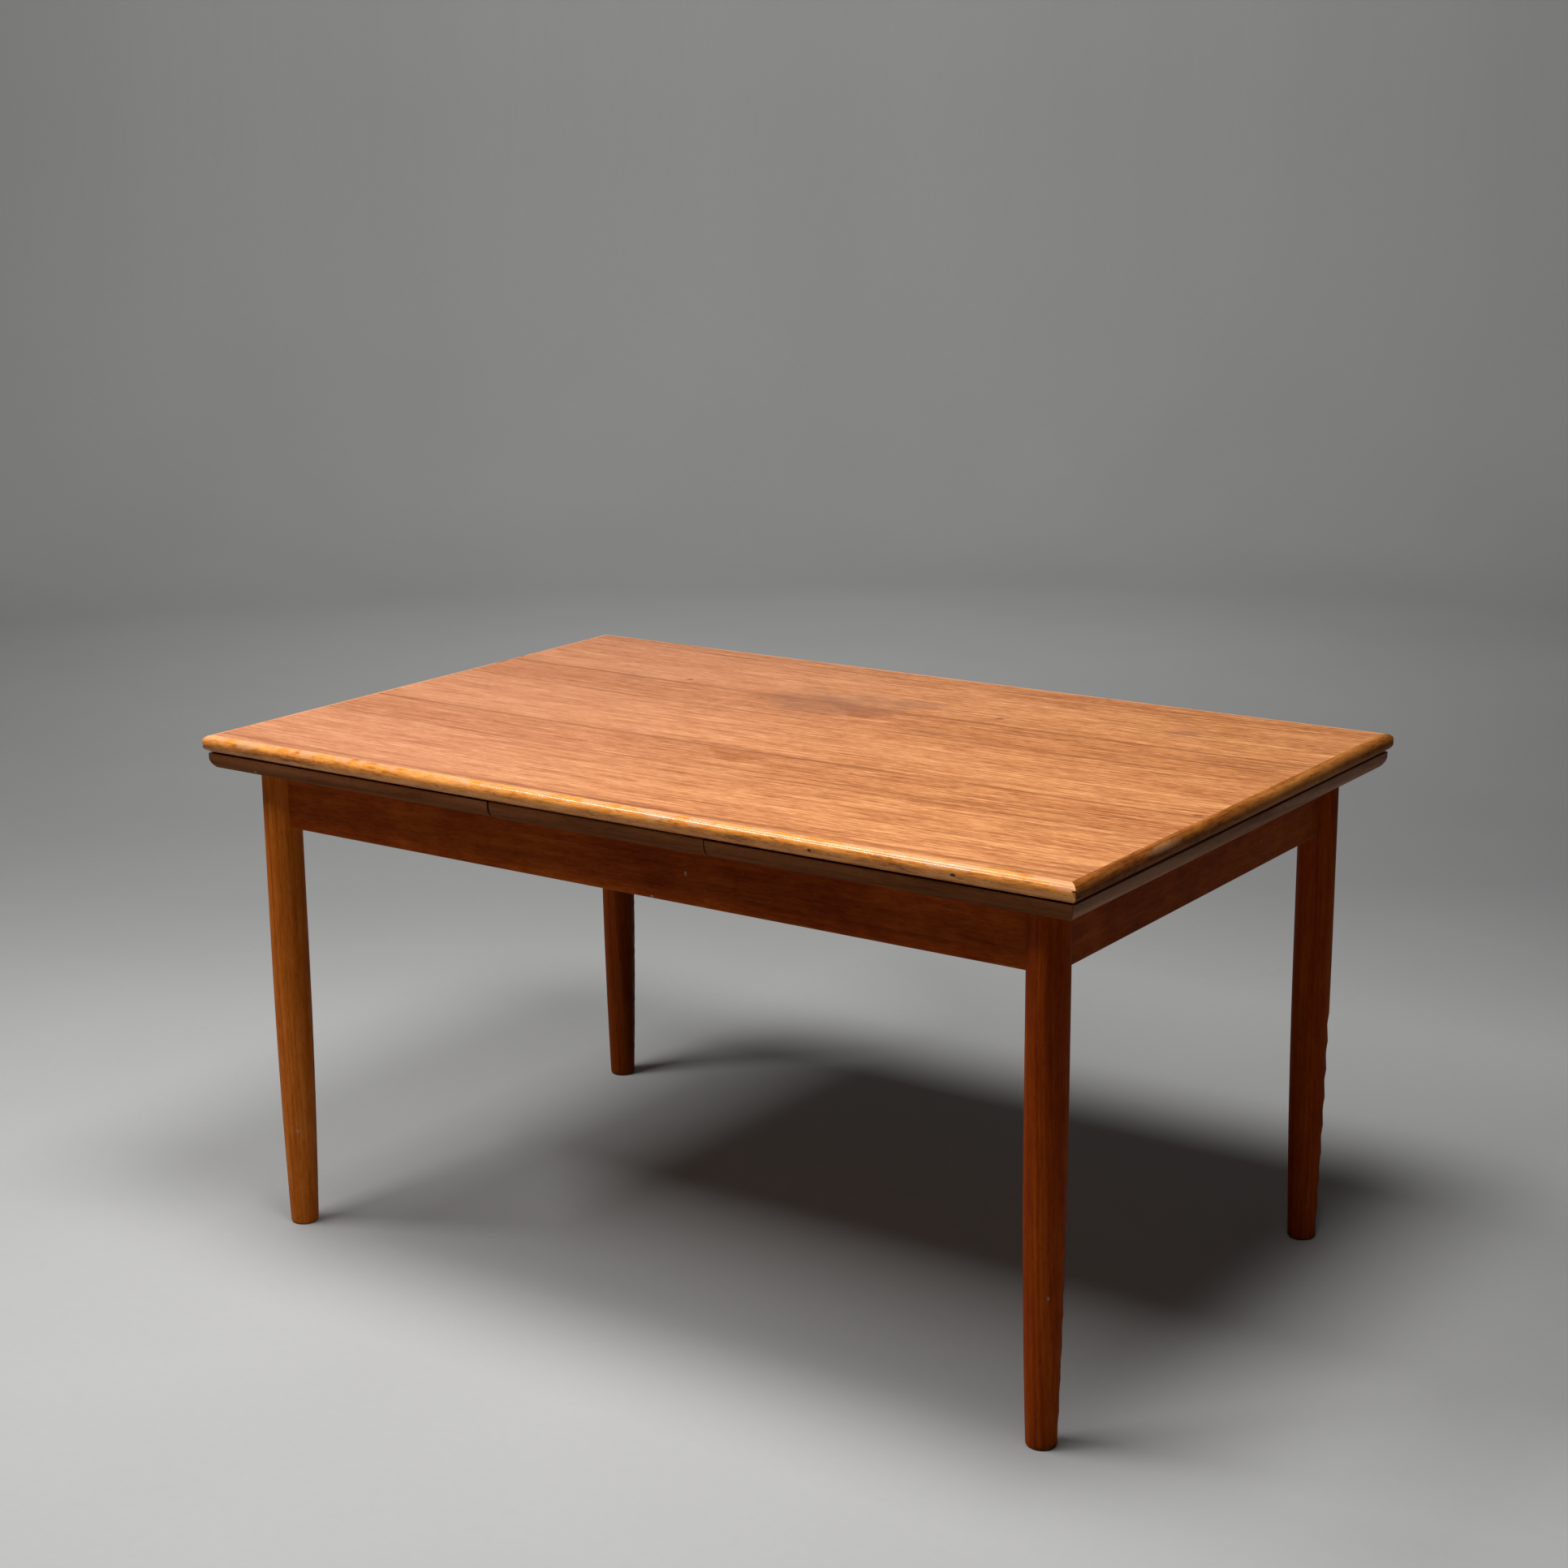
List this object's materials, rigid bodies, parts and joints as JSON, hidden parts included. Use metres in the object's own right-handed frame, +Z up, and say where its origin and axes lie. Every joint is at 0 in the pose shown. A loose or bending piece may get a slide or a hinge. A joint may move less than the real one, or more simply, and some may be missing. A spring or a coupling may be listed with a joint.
{
  "type": "draw leaf dining table",
  "caption": "Rectangular wooden dining table on tapered round legs; a leaf stored under each end of the loose top draws out on runners.",
  "frame": {"origin": "on the floor under the middle of the table, leaves pushed in and top down", "axes": "+X along the length to the right, +Y across the width to the back, +Z up"},
  "size_m": [1.38, 0.9, 0.73],
  "materials": {
    "top_veneer": "oiled teak veneer with straight grain, satin",
    "top_lipping": "solid teak edging, rounded and rubbed, satin",
    "leaf_veneer": "oiled teak veneer, less faded than the top",
    "leaf_lipping": "solid teak edging, dull",
    "apron_veneer": "dark red-brown teak, horizontal grain, satin",
    "leg_teak": "solid red-brown teak, grain up the leg, satin",
    "beech": "plain unfinished beech",
    "steel": "zinc-plated steel, slightly dull",
    "felt": "dark green wool felt"
  },
  "bodies": {
    "frame": {"centre_board_panel": "leaf_veneer", "centre_board_front_lipping": "leaf_lipping", "centre_board_back_lipping": "leaf_lipping", "centre_board_left_lipping": "leaf_lipping", "centre_board_right_lipping": "leaf_lipping", "centre_board_screws": "steel", "corner_block_screws": "steel", "leg_hanger_bolts": "steel", "leg_bolt_washers": "steel", "leg_bolt_nuts": "steel", "centre_board_felt_pads": "felt", "left_cross_rail": "beech", "right_cross_rail": "beech", "front_left_corner_block": "beech", "front_right_corner_block": "beech", "back_left_corner_block": "beech", "back_right_corner_block": "beech", "front_left_leg": "leg_teak", "front_right_leg": "leg_teak", "back_left_leg": "leg_teak", "back_right_leg": "leg_teak", "front_apron": "apron_veneer", "back_apron": "apron_veneer", "left_end_apron": "apron_veneer", "right_end_apron": "apron_veneer"},
    "top": {"top_panel": "top_veneer", "top_front_lipping": "top_lipping", "top_back_lipping": "top_lipping", "top_left_lipping": "top_lipping", "top_right_lipping": "top_lipping", "front_guide_peg": "beech", "back_guide_peg": "beech", "guide_peg_washers": "steel", "guide_peg_screws": "steel"},
    "left_leaf": {"left_leaf_panel": "leaf_veneer", "left_leaf_front_lipping": "leaf_lipping", "left_leaf_back_lipping": "leaf_lipping", "left_leaf_inner_lipping": "leaf_lipping", "left_leaf_outer_lipping": "leaf_lipping", "left_leaf_front_runner": "beech", "left_leaf_back_runner": "beech", "left_leaf_stop_pegs": "beech", "left_leaf_runner_screws": "steel"},
    "right_leaf": {"right_leaf_panel": "leaf_veneer", "right_leaf_front_lipping": "leaf_lipping", "right_leaf_back_lipping": "leaf_lipping", "right_leaf_inner_lipping": "leaf_lipping", "right_leaf_outer_lipping": "leaf_lipping", "right_leaf_front_runner": "beech", "right_leaf_back_runner": "beech", "right_leaf_stop_pegs": "beech", "right_leaf_runner_screws": "steel"}
  },
  "joints": [
    {"name": "left_leaf_draw", "type": "slide", "parent": "frame", "child": "left_leaf", "axis": [-1, 0, 0], "range_m": [0, 0.52]},
    {"name": "right_leaf_draw", "type": "slide", "parent": "frame", "child": "right_leaf", "axis": [1, 0, 0], "range_m": [0, 0.52]},
    {"name": "top_lift", "type": "slide", "parent": "frame", "child": "top", "axis": [0, 0, 1], "range_m": [0, 0.028]}
  ]
}
